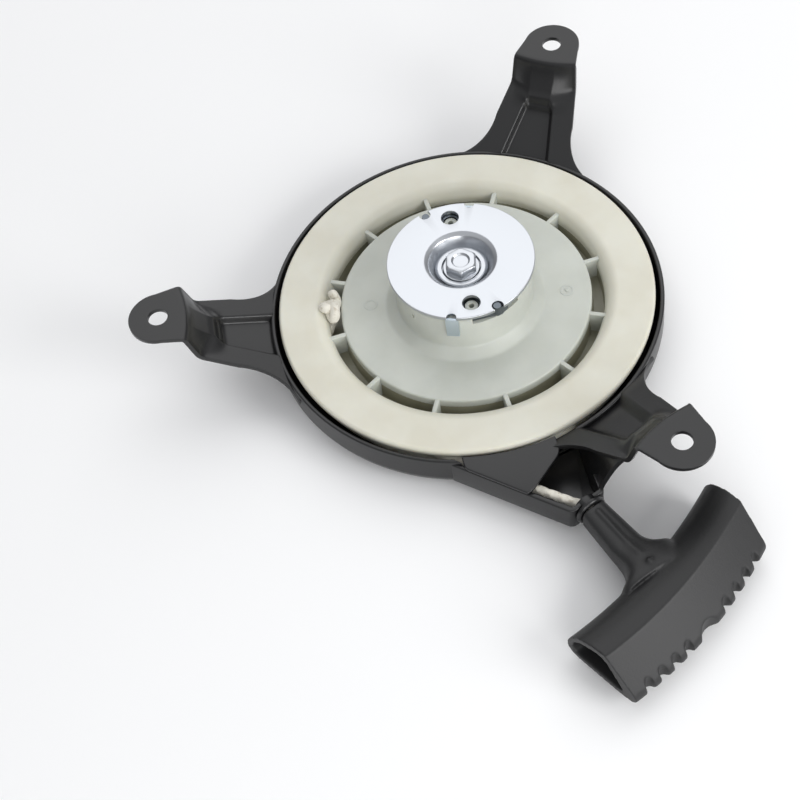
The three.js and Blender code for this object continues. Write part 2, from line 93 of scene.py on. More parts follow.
BELOW_ALL = -5


def polar(r, deg, z=0.0):
    a = math.radians(deg)
    return Vector((r * math.cos(a), r * math.sin(a), z))


def turned(x, y, deg, z=0.0):
    return Matrix.Rotation(math.radians(deg), 3, "Z") @ Vector((x, y, z))


def smoothstep(low, high, x):
    t = min(1.0, max(0.0, (x - low) / (high - low)))
    return t * t * (3 - 2 * t)


# ---------- forms: a list of points and a list of faces, in millimetres ----------
def filleted(points, reach, steps=4, closed=True, crisp=()):
    """The outline with its corners rounded off: less at the crisp ones, and not at all on the axis."""
    points = [Vector(p) for p in points]
    last = len(points) - 1
    out = []
    for i, p in enumerate(points):
        on_end = not closed and i in (0, last)
        if on_end or (closed and p.x == 0):
            out.append(p)
            continue
        to_a = points[i - 1] - p
        to_b = points[(i + 1) % len(points)] - p
        cut = min(reach * (0.25 if i in crisp else 1), 0.45 * to_a.length, 0.45 * to_b.length)
        a = p + to_a.normalized() * cut
        b = p + to_b.normalized() * cut
        for k in range(steps + 1):
            t = k / steps
            out.append(a * (1 - t) ** 2 + p * (2 * t * (1 - t)) + b * t * t)
    return out


def grid_faces(rows, columns, wrap_rows=False, wrap_columns=False):
    faces = []
    for i in range(rows if wrap_rows else rows - 1):
        for j in range(columns if wrap_columns else columns - 1):
            a = i * columns + j
            b = i * columns + (j + 1) % columns
            c = ((i + 1) % rows) * columns
            faces.append((a, b, c + (j + 1) % columns, c + j))
    return faces


def lathe(profile, corner=0.3, segments=192):
    """Solid of revolution about Z from a closed outline of (radius, height)."""
    outline = filleted(profile, corner)
    points = []
    for i in range(segments):
        a = 2 * math.pi * i / segments
        points += [Vector((p.x * math.cos(a), p.x * math.sin(a), p.y)) for p in outline]
    return points, grid_faces(segments, len(outline), True, True)


def inset(outline, d):
    """The outline moved inwards by d, for an outline that runs anticlockwise."""
    out = []
    for i, p in enumerate(outline):
        before = (p - outline[i - 1]).normalized()
        after = (outline[(i + 1) % len(outline)] - p).normalized()
        side = Vector((-(before.y + after.y), before.x + after.x))
        out.append(p + side * (d / (1 + before.dot(after))))
    return out


def prism(outline, z0, z1, edge=0.4, corner=0.0):
    """Upright prism with rounded top and bottom edges."""
    flat = [Vector(p).to_2d() for p in outline]
    if corner:
        flat = filleted(flat, corner)
    levels = []
    for k in range(4):
        a = math.radians(30 * k)
        levels.append((edge * (1 - math.sin(a)), z0 + edge * (1 - math.cos(a))))
    for k in range(4):
        a = math.radians(90 - 30 * k)
        levels.append((edge * (1 - math.sin(a)), z1 - edge * (1 - math.cos(a))))
    points = []
    for d, z in levels:
        points += [Vector((p.x, p.y, z)) for p in (inset(flat, d) if d else flat)]
    n = len(flat)
    faces = grid_faces(len(levels), n, False, True)
    faces.append(tuple(range(n - 1, -1, -1)))
    faces.append(tuple(range((len(levels) - 1) * n, len(levels) * n)))
    return points, faces


def circle(r, cx=0.0, cy=0.0, count=48):
    return [Vector((cx, cy)) + polar(r, 360 * k / count).to_2d() for k in range(count)]


def arc(r, start, end, steps):
    return [polar(r, start + (end - start) * k / steps).to_2d() for k in range(steps + 1)]


def sector(inner, outer, start, end, steps):
    """Outline of a piece of a ring, between two angles."""
    return arc(outer, start, end, steps) + arc(inner, end, start, steps)


def resampled(points, spacing):
    """Points at an even spacing along a smooth curve through the given ones."""
    fine = []
    count = len(points)
    for i in range(count - 1):
        p0, p1, p2, p3 = (points[min(max(k, 0), count - 1)] for k in (i - 1, i, i + 1, i + 2))
        for k in range(16):
            t = k / 16
            fine.append(0.5 * (2 * p1 + (p2 - p0) * t + (2 * p0 - 5 * p1 + 4 * p2 - p3) * t * t
                               + (3 * p1 - p0 - 3 * p2 + p3) * t ** 3))
    fine.append(points[-1])
    out = [fine[0]]
    left = spacing
    for a, b in zip(fine, fine[1:]):
        span = (b - a).length
        while span > 0 and left <= span:
            out.append(a.lerp(b, left / span))
            left += spacing
        left -= span
    out.append(points[-1])
    return out


def braid(angle, along):
    """Relief of a braided cord, from -1 to 1: strands crossing over and under each other."""
    pitch = 2 * math.pi * along / 4.2
    return max(math.cos(3 * angle + pitch), math.cos(3 * angle - pitch)) - 0.45


def sweep(path, radius, sides=24, relief=0.0):
    """Round cord along a path, with rounded ends."""
    side = (path[1] - path[0]).orthogonal().normalized()
    points = []
    along = 0.0
    count = len(path)
    for i, p in enumerate(path):
        ahead = path[min(i + 1, count - 1)] - path[max(i - 1, 0)]
        ahead.normalize()
        side = (side - ahead * side.dot(ahead)).normalized()
        up = ahead.cross(side)
        if i:
            along += (p - path[i - 1]).length
        end = min(i, count - 1 - i) / 3
        shrink = 0.15 if end == 0 else min(1.0, math.sin(min(1.0, end) * math.pi / 2) + 0.1)
        for k in range(sides):
            a = 2 * math.pi * k / sides
            r = radius * shrink + relief * braid(a, along)
            points.append(p + side * (r * math.cos(a)) + up * (r * math.sin(a)))
    faces = grid_faces(count, sides, False, True)
    faces.append(tuple(range(sides - 1, -1, -1)))
    faces.append(tuple(range((count - 1) * sides, count * sides)))
    return points, faces


def joined(forms):
    points = []
    faces = []
    for form_points, form_faces in forms:
        start = len(points)
        points += form_points
        faces += [tuple(start + i for i in face) for face in form_faces]
    return points, faces


def placed(form, matrix):
    return [matrix @ p for p in form[0]], form[1]


def spun(form, deg):
    return placed(form, Matrix.Rotation(math.radians(deg), 4, "Z"))


def moved(form, x, y, z=0.0):
    return placed(form, Matrix.Translation((x, y, z)))


# Along the pull: +Z of a form turns to the pull's direction, and its origin goes to the exit.
TO_PULL = (Matrix.Translation(EXIT) @ Matrix.Rotation(math.radians(PULL_ANGLE), 4, "Z")
           @ Matrix.Rotation(math.radians(90), 4, "Y"))
# Grip frame: x along the pull, y across it, z up.
TO_GRIP = Matrix.Translation(EXIT) @ Matrix.Rotation(math.radians(PULL_ANGLE), 4, "Z")


# ---------- pieces ----------
def bare_object(name, form):
    mesh = bpy.data.meshes.new(name)
    mesh.from_pydata([p * MM for p in form[0]], [], form[1])
    bm = bmesh.new()
    bm.from_mesh(mesh)
    bmesh.ops.remove_doubles(bm, verts=bm.verts, dist=1e-6)
    bmesh.ops.recalc_face_normals(bm, faces=bm.faces)
    bm.to_mesh(mesh)
    bm.free()
    obj = bpy.data.objects.new(name, mesh)
    bpy.context.scene.collection.objects.link(obj)
    return obj


def bake_modifiers(obj):
    """Turns the modifiers' result into the object's own mesh."""
    bpy.context.view_layer.update()
    shown = obj.evaluated_get(bpy.context.evaluated_depsgraph_get())
    mesh = bpy.data.meshes.new_from_object(shown)
    obj.modifiers.clear()
    obj.data = mesh
    return obj


def combine(obj, operation, forms):
    for form in forms:
        other = bare_object("cutter", form)
        modifier = obj.modifiers.new("combine", "BOOLEAN")
        modifier.operation = operation
        modifier.solver = "MANIFOLD"
        modifier.object = other
        bake_modifiers(obj)
        bpy.data.objects.remove(other)
    return obj


def bevelled(obj, width, angle):
    modifier = obj.modifiers.new("bevel", "BEVEL")
    modifier.width = width * MM
    modifier.segments = 2
    modifier.limit_method = "ANGLE"
    modifier.angle_limit = math.radians(angle)
    modifier.harden_normals = False
    return bake_modifiers(obj)


def thicken(obj, thickness):
    """Gives a sheet its thickness, below the given surface."""
    up = sum((f.normal.z * f.area for f in obj.data.polygons), 0.0)
    modifier = obj.modifiers.new("thickness", "SOLIDIFY")
    modifier.thickness = thickness * MM
    modifier.offset = -1 if up > 0 else 1
    modifier.use_even_offset = True
    modifier.thickness_clamp = 0
    return bake_modifiers(obj)


def remeshed(obj, voxel, passes):
    modifier = obj.modifiers.new("remesh", "REMESH")
    modifier.mode = "VOXEL"
    modifier.voxel_size = voxel * MM
    smooth = obj.modifiers.new("smooth", "SMOOTH")
    smooth.factor = 0.5
    smooth.iterations = passes
    return bake_modifiers(obj)


def finished(obj, material, body, nodes=(), crease=35):
    """Smooth shading, material, and the CAD nodes that the piece stands for."""
    obj.data.materials.clear()
    obj.data.materials.append(material)
    obj.data.shade_smooth()
    obj.data.set_sharp_from_angle(angle=math.radians(crease))
    if nodes:
        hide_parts(*nodes)
    if body:
        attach(obj, body)
    return obj


# ---------- materials ----------
def surface(name, color, roughness, metallic=0.0):
    material = bpy.data.materials.new(name)
    material.use_nodes = True
    shader = material.node_tree.nodes["Principled BSDF"]
    shader.inputs["Base Color"].default_value = (*color, 1)
    shader.inputs["Roughness"].default_value = roughness
    shader.inputs["Metallic"].default_value = metallic
    return material, shader


def noise_node(material, scale, detail, stretch=(1, 1, 1)):
    tree = material.node_tree
    place = tree.nodes.new("ShaderNodeTexCoord")
    mapping = tree.nodes.new("ShaderNodeMapping")
    mapping.inputs["Scale"].default_value = stretch
    texture = tree.nodes.new("ShaderNodeTexNoise")
    texture.inputs["Scale"].default_value = scale
    texture.inputs["Detail"].default_value = detail
    tree.links.new(place.outputs["Object"], mapping.inputs["Vector"])
    tree.links.new(mapping.outputs["Vector"], texture.inputs["Vector"])
    return texture


def add_bump(material, shader, texture, height):
    bump = material.node_tree.nodes.new("ShaderNodeBump")
    bump.inputs["Distance"].default_value = height * MM
    material.node_tree.links.new(texture.outputs["Fac"], bump.inputs["Height"])
    material.node_tree.links.new(bump.outputs["Normal"], shader.inputs["Normal"])


def vary_color(material, shader, texture, dark, light, low=0.35, high=0.65):
    ramp = material.node_tree.nodes.new("ShaderNodeValToRGB")
    ramp.color_ramp.elements[0].position = low
    ramp.color_ramp.elements[0].color = (*dark, 1)
    ramp.color_ramp.elements[1].position = high
    ramp.color_ramp.elements[1].color = (*light, 1)
    material.node_tree.links.new(texture.outputs["Fac"], ramp.inputs["Fac"])
    material.node_tree.links.new(ramp.outputs["Color"], shader.inputs["Base Color"])


def black_paint():
    material, shader = surface("black_paint", (0.012, 0.012, 0.0125), 0.3)
    add_bump(material, shader, noise_node(material, 900, 2.0), 0.02)
    return material


def nylon(name, dark, light):
    material, shader = surface(name, light, 0.36)
    vary_color(material, shader, noise_node(material, 60, 4.0), dark, light)
    shader.inputs["Subsurface Weight"].default_value = 0.25
    shader.inputs["Subsurface Radius"].default_value = (1.0, 0.85, 0.6)
    shader.inputs["Subsurface Scale"].default_value = 2 * MM
    return material


def metal(name, color, roughness, brushed=0.0):
    material, shader = surface(name, color, roughness, 1.0)
    if brushed:
        add_bump(material, shader, noise_node(material, 260, 4.0, (1, 6, 1)), brushed)
    return material


def grip_plastic():
    material, shader = surface("grip_plastic", (0.013, 0.013, 0.0135), 0.48)
    add_bump(material, shader, noise_node(material, 1400, 2.0), 0.04)
    return material


def rope_fibre():
    shade = (0.62, 0.57, 0.47)
    cream = (0.80, 0.77, 0.68)
    material, shader = surface("rope_fibre", cream, 0.85)
    vary_color(material, shader, noise_node(material, 700, 2.0), shade, cream, 0.3, 0.46)
    add_bump(material, shader, noise_node(material, 2500, 2.0), 0.08)
    shader.inputs["Sheen Weight"].default_value = 0.2
    return material


BLACK = black_paint()
FLANGE_NYLON = nylon("nylon_flange", (0.66, 0.64, 0.54), (0.71, 0.70, 0.61))
DISC_NYLON = nylon("nylon_disc", (0.50, 0.52, 0.47), (0.56, 0.58, 0.53))
# Darkened olive nylon: painted shade for the deep, dark rope slot of the reel.
SLOT_NYLON_PAINTED_SHADE = nylon("nylon_slot_painted_shade", (0.26, 0.25, 0.18), (0.33, 0.32, 0.24))
ZINC = metal("zinc", (0.58, 0.60, 0.63), 0.3, 0.01)
# Steel-blue tinted zinc: painted shade tint for the lugs bent down under the plate, which are the
# plate's own zinc.
LUG_ZINC_PAINTED_SHADE = metal("lug_zinc_painted_shade", (0.62, 0.70, 0.76), 0.5)
STEEL = metal("steel", (0.16, 0.18, 0.20), 0.4)
SPRING_STEEL = metal("spring_steel", (0.2, 0.21, 0.23), 0.3)
GRIP = grip_plastic()
ROPE = rope_fibre()


# ---------- housing ----------
RIM_TOP_Z = REEL_FACE_Z - 1.9
CUP_INSIDE_R = CUP_R - 0.8
ARM_START_U = 62.0
ARM_ROOT_Z = REEL_FACE_Z - 1
ARM_SLOPE = 0.48
NECK_U = 79.6
NECK_FLARE_R = 18.0
NECK_HALF = 14.5
RISER_FOOT_U = 91.5
RISER_HEAD_U = 94.5
FOOT_BULGE = 4.2
HEAD_BULGE = 1.3
CHANNEL_END_U = 90.0
CHANNEL_DEPTH = 2.4
CHANNEL_WALL = 1.5
SOFT_CHANNEL_WALL = 4.0
NOSE_ARM = 3


def half_width(u):
    """Half the width of an arm at distance u from the axis, from its flared root to its round end."""
    if u < NECK_U:
        fall = math.sqrt(max(0.0, NECK_FLARE_R ** 2 - (u - NECK_U) ** 2))
        return NECK_HALF + NECK_FLARE_R - fall
    if u < HOLE_CIRCLE_R:
        edge = [(NECK_U, NECK_HALF), (90.5, 12.4), (95.5, 11.4), (HOLE_CIRCLE_R, TAB_R)]
        for (u0, w0), (u1, w1) in zip(edge, edge[1:]):
            if u <= u1:
                return w0 + (w1 - w0) * (u - u0) / (u1 - u0)
    return math.sqrt(max(0.0, TAB_R ** 2 - (u - HOLE_CIRCLE_R) ** 2))


def slope_height(u):
    """Height of the sloping part of an arm at u."""
    return ARM_ROOT_Z + ARM_SLOPE * (u - CUP_R)


def arm_profile():
    """Side view of an arm's top: sloping web, steep riser, flat tab."""
    corners = [
        (ARM_START_U, slope_height(ARM_START_U)), (RISER_FOOT_U, slope_height(RISER_FOOT_U)),
        (RISER_HEAD_U, TAB_TOP_Z), (TAB_END_U, TAB_TOP_Z),
    ]
    path = filleted(corners, 1.8, 8, closed=False)
    start, foot, head = path[0], path[1:10], path[10:-1]
    slope = [start.lerp(foot[0], k / 56) for k in range(56)]
    riser = [foot[-1].lerp(head[0], k / 8) for k in range(1, 8)]
    tab = [Vector((HOLE_CIRCLE_R - 6 + k, TAB_TOP_Z)) for k in range(7)]
    round_end = [HOLE_CIRCLE_R + TAB_R * math.sin(math.radians(6 * k)) for k in range(1, 16)]
    return slope + foot + riser + head + tab + [Vector((u, TAB_TOP_Z)) for u in round_end]


def channel_half(u):
    """Half the width of the sunk channel that stiffens an arm; it narrows towards the riser."""
    start_u, start_half, end_half = 66, 9.0, 4.6
    return start_half + (end_half - start_half) * (u - start_u) / (CHANNEL_END_U - start_u)


FLOOR_COLUMNS = 8
WALL_COLUMNS = 6


def across_arm(u, wall):
    """Places across an arm at u, with the channel's walls always on the same columns."""
    edge = max(half_width(u), 0.03)
    widened = 0.2 + (wall - CHANNEL_WALL) / 2
    lip = min(channel_half(min(u, CHANNEL_END_U)) + widened, 0.8 * edge)
    floor_edge = max(lip - wall, 0.3 * lip)
    right = [floor_edge * k / FLOOR_COLUMNS for k in range(FLOOR_COLUMNS + 1)]
    right += [floor_edge + (lip - floor_edge) * k / WALL_COLUMNS for k in range(1, WALL_COLUMNS + 1)]
    right += [lip + (edge - lip) * k / 9 for k in range(1, 10)]
    return [-w for w in right[:0:-1]] + right


def arm_form(wall):
    """Top of an arm along +X, with the sunk channel and the riser's foot bulging over its end."""
    points = []
    rows = arm_profile()
    for p in rows:
        places = across_arm(p.x, wall)
        middle = len(places) // 2
        foot = 1 - smoothstep(27, 37, p.y)
        near_foot = smoothstep(RISER_FOOT_U - 9, RISER_FOOT_U - 1, p.x)
        head = smoothstep(30, TAB_TOP_Z, p.y) * (1 - smoothstep(95, 99, p.x))
        for k, w in enumerate(places):
            column = abs(k - middle)
            side = min(1.0, abs(w) / 11)
            bulge = FOOT_BULGE * min(1.0, (1 - side) / 0.62) * foot * near_foot
            bulge += HEAD_BULGE * (1 - side * side) * head
            inside = 1 - min(1.0, max(0.0, (column - FLOOR_COLUMNS) / WALL_COLUMNS))
            end = smoothstep(-0.5, wall - 0.5, CHANNEL_END_U - p.x)
            sunk = CHANNEL_DEPTH * smoothstep(0, 1, inside) * end
            points.append(Vector((p.x - bulge, w, p.y - sunk)))
    return points, grid_faces(len(rows), len(points) // len(rows))


def cylinder(r, cx=0.0, cy=0.0, bottom=BELOW_ALL, count=48):
    """Round cutter from the given height up, clear of everything above."""
    return prism(circle(r, cx, cy, count), bottom, ABOVE_ALL, 0)


def arm(index, deg):
    wall = SOFT_CHANNEL_WALL if index == NOSE_ARM else CHANNEL_WALL
    obj = bare_object(f"housing_arm_{index}", arm_form(wall))
    thicken(obj, SHEET)
    hole = cylinder(TAB_HOLE_R, HOLE_CIRCLE_R, 0)
    combine(obj, "DIFFERENCE", [hole, cylinder(CUP_INSIDE_R, count=192)])
    bevelled(obj, 0.35, 50)
    obj.data.transform(Matrix.Rotation(math.radians(deg), 4, "Z"))
    return finished(obj, BLACK, "housing_body", ["housing"], 40)


EXIT_HALF = 6.5
NOSE_FLOOR_Z = 4.5
NOSE_TOP_Z = 14.2


def beside_exit(side):
    return EXIT.to_2d() + turned(0, side * EXIT_HALF, PULL_ANGLE).to_2d()


NOSE = [
    Vector((-18.5, -65)), beside_exit(-1), beside_exit(1), Vector((25.5, -58)), Vector((-12, -58)),
]


def nose_hollow():
    return prism(inset(NOSE, SHEET), NOSE_FLOOR_Z + SHEET, ABOVE_ALL, 0)


def cup():
    profile = [
        (0, 0), (FACE_R, 0), (FACE_R, 2.4), (CUP_R - 1, 3.4), (CUP_R, 6), (CUP_R, RIM_TOP_Z),
        (CUP_R - SHEET, RIM_TOP_Z), (CUP_R - SHEET, 6), (CUP_R - SHEET - 1, 4.8),
        (FACE_R - SHEET, 3.2), (FACE_R - SHEET, SHEET), (0, SHEET),
    ]
    obj = bare_object("housing_cup", lathe(profile, 0.7, 256))
    combine(obj, "DIFFERENCE", [nose_hollow()])
    return finished(obj, BLACK, "housing_body", ["housing"])


def nose():
    obj = bare_object("housing_nose", prism(NOSE, NOSE_FLOOR_Z, NOSE_TOP_Z, 0.5, 1.6))
    exit_hole = placed(prism(circle(4.5), -4, 4, 0), TO_PULL)
    beside_arm = [(23.4, -80), (32, -80), (32, -56), (23.4, -56)]
    open_side = prism(beside_arm, NOSE_FLOOR_Z + SHEET + 0.6, ABOVE_ALL, 0)
    inside_cup = cylinder(CUP_INSIDE_R, count=192)
    combine(obj, "DIFFERENCE", [nose_hollow(), inside_cup, exit_hole, open_side])
    bevelled(obj, 0.35, 50)
    return finished(obj, BLACK, "housing_body", ["housing"], 40)


def on_nose_arm(u, w):
    return turned(u, w, ARM_ANGLES[NOSE_ARM - 1], slope_height(u))


def web():
    """Sheet that falls from the arm, first gently and then steeply, to the nose's floor."""
    foot = resampled([Vector(p) for p in (
        (24.2, -62, 6), (24.6, -75, 5.6), (25, -81, 7), (25.6, -85.4, 12.6),
    )], 0.5)
    head = resampled([on_nose_arm(66, -9.6), on_nose_arm(78, -8.6), on_nose_arm(91, -9)], 0.5)
    below_arm = 0.15
    rows = 40
    across = 28
    points = []
    for i in range(rows):
        a = foot[round(i * (len(foot) - 1) / (rows - 1))]
        b = head[round(i * (len(head) - 1) / (rows - 1))]
        for k in range(across):
            t = k / (across - 1)
            flat = a.lerp(b, t)
            rise = 1 - (1 - t) ** 2.1
            points.append(Vector((flat.x, flat.y, a.z + (b.z - below_arm - a.z) * rise)))
    obj = bare_object("housing_web", (points, grid_faces(rows, across)))
    thicken(obj, SHEET)
    combine(obj, "DIFFERENCE", [cylinder(CUP_INSIDE_R, count=192)])
    bevelled(obj, 0.35, 50)
    return finished(obj, BLACK, "housing_body", ["housing"], 40)


def guard_plate():
    outline = [
        (-13.4, -69), (4.2, -82.9), (6.4, -81.5), (16.6, -71), (17.6, -68.4), (17, -62), (-14, -62),
    ]
    obj = bare_object("guard", prism(outline, NOSE_TOP_Z + 0.3, GUARD_TOP_Z, 0.35, 1.2))
    combine(obj, "DIFFERENCE", [cylinder(REEL_R + 1, count=192)])
    return finished(obj, BLACK, "housing_body", ["rope_guard_plate"], 40)


def eyelet():
    profile = [
        (3, -2.4), (4.2, -2.4), (4.2, 0.3), (5.4, 0.3), (5.4, 1.2), (4.8, 1.9), (3.6, 1.9), (3, 1.2),
    ]
    obj = bare_object("eyelet", placed(lathe(profile, 0.5, 64), TO_PULL))
    return finished(obj, BLACK, "housing_body", ["exit_eyelet"])


# ---------- reel ----------
GROOVE_R = 49.2
GROOVE_HIGH = ROPE_Z + ROPE_R + 0.4
GROOVE_LOW = ROPE_Z - ROPE_R - 0.4
RIB_OFFSET = 6.5


def reel_flange():
    profile = [
        (47.8, 5.4), (GROOVE_R, 3.6), (62, 6), (62, GROOVE_LOW), (GROOVE_R, GROOVE_LOW),
        (GROOVE_R, GROOVE_HIGH), (REEL_R - 0.4, GROOVE_HIGH + 1), (REEL_R, REEL_FACE_Z - 1),
        (REEL_R - 0.6, REEL_FACE_Z), (51.6, REEL_FACE_Z), (49.2, REEL_FACE_Z - 1.4),
        (47.8, GROOVE_HIGH + 0.6),
    ]
    obj = bare_object("reel_flange", lathe(profile, 1.2, 256))
    return finished(obj, FLANGE_NYLON, "reel_body", ["reel"])


def reel_slot():
    profile = [
        (42.6, 4.4), (48.4, 4.4), (48.4, GROOVE_HIGH), (47.9, GROOVE_HIGH),
        (47.6, 6), (43.8, 6), (43.4, 13.6), (42.6, 13.6),
    ]
    # The slot's floor and walls take the darkened nylon, painted shade of the deep slot.
    obj = bare_object("reel_slot", lathe(profile, 0.2, 192))
    return finished(obj, SLOT_NYLON_PAINTED_SHADE, "reel_body", ["reel"])


def reel_ribs():
    half = 0.8
    outline = [(DISC_R - 1, -half), (50.2, -half), (50.2, half), (DISC_R - 1, half)]
    rib = prism(outline, 5, DISC_Z - 0.2, 0.3)
    obj = bare_object("reel_ribs", joined([spun(rib, RIB_OFFSET + 30 * k) for k in range(12)]))
    return finished(obj, DISC_NYLON, "reel_body", ["reel"])


def reel_disc():
    profile = [
        (13, 12.4), (40.8, 12.4), (40.8, 4.4), (DISC_R, 4.4), (DISC_R, DISC_Z), (27.4, DISC_Z),
        (DRUM_R, DISC_Z + 3), (DRUM_R, DRUM_TOP_Z),
        (DRUM_R - 2, DRUM_TOP_Z), (DRUM_R - 2, CHAMBER_Z),
        (9.2, CHAMBER_Z), (9.2, 5), (13, 5),
    ]
    obj = bare_object("reel_disc", lathe(profile, 0.8, 256))
    window = prism(sector(DRUM_R - 4, DRUM_R + 3, -92, -48, 12), PAWL_Z, ABOVE_ALL, 0)
    hub_pocket = cylinder(4.3, 0, -PAWL_PIVOT_R, PAWL_Z)
    cutters = [spun(form, half) for half in (0, 180) for form in (window, hub_pocket)]
    wedge = [(DRUM_R - 3, -0.5), (DRUM_R + 3, -1.0), (DRUM_R + 3, 1.0)]
    pinhole = spun(prism(wedge, 26.6, 28.4, 0), -145)
    combine(obj, "DIFFERENCE", [*cutters, pinhole])
    return finished(obj, DISC_NYLON, "reel_body", ["reel"])


def pawl_bosses():
    bottom, top = CHAMBER_Z - 1, 33.4
    profile = [(0.9, bottom), (2.3, bottom), (2.3, top), (0.9, top)]
    boss = moved(lathe(profile, 0.3, 48), 0, -PAWL_PIVOT_R)
    obj = bare_object("pawl_bosses", joined([boss, spun(boss, 180)]))
    return finished(obj, DISC_NYLON, "reel_body", ["reel"])


def gate_marks():
    """Moulding gates on the disc: a bright nub in a shallow ring, and a faint one across from it."""
    sunk = DISC_Z - 0.2
    ring_top = DISC_Z + 0.12
    nub = lathe([(0, sunk), (0.7, sunk), (0.7, DISC_Z + 0.35), (0, DISC_Z + 0.45)], 0.2, 32)
    ring = lathe([(1.7, sunk), (2.4, sunk), (2.4, ring_top), (1.7, ring_top)], 0.1, 48)
    marks = [moved(nub, *polar(35, -10)), moved(ring, *polar(35, -10)), moved(ring, *polar(33, 171))]
    obj = bare_object("gate_marks", joined(marks))
    return finished(obj, DISC_NYLON, "reel_body", ["reel"])


# ---------- ratchet plate and bolt ----------
PLATE_HOLE_R = 3.1
PLATE_NOTCHES = ((-70, 2.0, 23.9), (-108, 1.7, 24.6))


def ratchet_plate():
    """Dished plate with two boss holes, and two notches of (angle, radius, distance) on each half."""
    under = PLATE_UNDER_Z
    profile = [
        (6.2, 29.2), (9, 29.2), (9.8, 29.6), (11.6, under - 0.6), (12.6, under), (PLATE_R, under),
        (PLATE_R, PLATE_TOP_Z), (12.4, PLATE_TOP_Z), (11, PLATE_TOP_Z - 0.9),
        (9, 31), (8.4, 30.6), (6.2, 30.6),
    ]
    obj = bare_object("plate", lathe(profile, 0.35, 256))
    cutters = []
    for half in (0, 180):
        cutters.append(spun(cylinder(PLATE_HOLE_R, 0, 19), half))
        for deg, r, at in PLATE_NOTCHES:
            cutters.append(spun(cylinder(r, at, 0), half + deg))
    combine(obj, "DIFFERENCE", cutters)
    bevelled(obj, 0.15, 60)
    return finished(obj, ZINC, "guide_body", ["ratchet_plate"])


def plate_lugs():
    lug = prism(sector(DRUM_R + 0.45, PLATE_R - 0.1, -113, -103, 6), 25.6, PLATE_UNDER_Z + 0.3, 0.3)
    obj = bare_object("plate_lugs", joined([lug, spun(lug, 180)]))
    # The lugs take the steel-blue tinted zinc, a painted shade tint under the plate.
    return finished(obj, LUG_ZINC_PAINTED_SHADE, "guide_body", ["ratchet_plate"])


def washer():
    obj = bare_object("collar", lathe([(6.6, 30.9), (8.2, 30.9), (8.2, 31.9), (6.6, 31.9)], 0.3, 96))
    return finished(obj, ZINC, "housing_body", ["friction_washer"])


def bolt():
    """Hexagon head with a dished top and chamfered corners, on a round flange."""
    flats = 10.0
    top = BOLT_TOP_Z
    hexagon = [polar(flats / math.sqrt(3), 20 + 60 * k).to_2d() for k in range(6)]
    obj = bare_object("bolt", prism(hexagon, 31.5, top, 0.5))
    dish = [(0, top - 0.7), (2.6, top - 0.7), (3.5, top + 0.4), (3.5, top + 5), (0, top + 5)]
    chamfer = [(5.0, top + 2), (8, top + 2), (8, top - 2.2), (5.75, top - 0.7), (4.9, top)]
    combine(obj, "DIFFERENCE", [lathe(dish, 0.2, 64), lathe(chamfer, 0.01, 64)])
    bevelled(obj, 0.12, 40)
    flange = lathe([(0, 30.95), (6.2, 30.95), (6.2, 31.8), (0, 31.8)], 0.3, 96)
    shank = lathe([(0, 12), (2.3, 12), (2.3, 31.2), (0, 31.2)], 0.2, 48)
    base = bare_object("bolt_flange", joined([flange, shank]))
    finished(base, ZINC, "housing_body", ["centre_bolt"])
    return finished(obj, ZINC, "housing_body", ["centre_bolt"])


# ---------- rope ----------
KNOT_ANGLE = 172
START_R = GROOVE_R + ROPE_R + 0.8
ROPE_PITCH = 3.4
LEAVE_R = START_R + 2.14 * ROPE_PITCH
ROPE_LOOK_R = ROPE_R * 0.95
EXIT_R = EXIT.to_2d().length
EXIT_ANGLE = math.degrees(math.atan2(EXIT.y, EXIT.x))
LEAVE_ANGLE = EXIT_ANGLE - math.degrees(math.acos(LEAVE_R / EXIT_R))
WOUND_FROM = KNOT_ANGLE + 16
WOUND_SPAN = LEAVE_ANGLE + 1080 - WOUND_FROM


def wound_rope():
    from_slot = ((45.9, -3), (46.6, 1.5), (48.2, 6), (50.4, 11))
    points = [polar(r, KNOT_ANGLE + a, ROPE_Z) for r, a in from_slot]
    count = 60
    for k in range(count + 1):
        share = k / count
        r = START_R + (LEAVE_R - START_R) * share
        points.append(polar(r, WOUND_FROM + WOUND_SPAN * share, ROPE_Z))
    obj = bare_object("wound_rope", sweep(resampled(points, 0.7), ROPE_LOOK_R, 18, 0.1))
    return finished(obj, ROPE, "reel_body", ["rope_wound"], 80)


def along_pull(distance):
    return EXIT + polar(distance, PULL_ANGLE)


def rope_run():
    leave = polar(LEAVE_R, LEAVE_ANGLE, ROPE_Z)
    points = [leave.lerp(EXIT, t) for t in (0.06, 0.45, 0.88)]
    points += [along_pull(d) for d in (-0.6, 3, 16, 31)]
    obj = bare_object("run_rope", sweep(resampled(points, 0.3), ROPE_LOOK_R, 30, 0.12))
    finished(obj, ROPE, None, ["rope_run"], 80)
    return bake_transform(obj)


def knot_path(size):
    """An overhand knot: a trefoil bight whose ends tuck into it."""
    points = []
    for k in range(40):
        a = 2 * math.pi * k / 43
        x = math.sin(a) + 1.5 * math.sin(2 * a)
        y = math.cos(a) - 1.5 * math.cos(2 * a)
        z = -1.15 * math.sin(3 * a)
        points.append(size * Vector((x, y, z)))
    return points


def reel_knot():
    quarter = Matrix.Rotation(math.radians(90), 4, "Z")
    stretched = Matrix.Diagonal((0.78, 1.55, 0.95, 1)) @ quarter
    in_slot = Matrix.Translation(polar(46.6, KNOT_ANGLE, DISC_Z + 1.8))
    place = in_slot @ Matrix.Rotation(math.radians(KNOT_ANGLE), 4, "Z") @ stretched
    path = [place @ p for p in knot_path(1.3)]
    obj = bare_object("knot_on_reel", sweep(resampled(path, 0.3), ROPE_R * 1.1, 24, 0.12))
    return finished(obj, ROPE, "reel_body", ["reel_knot"], 80)


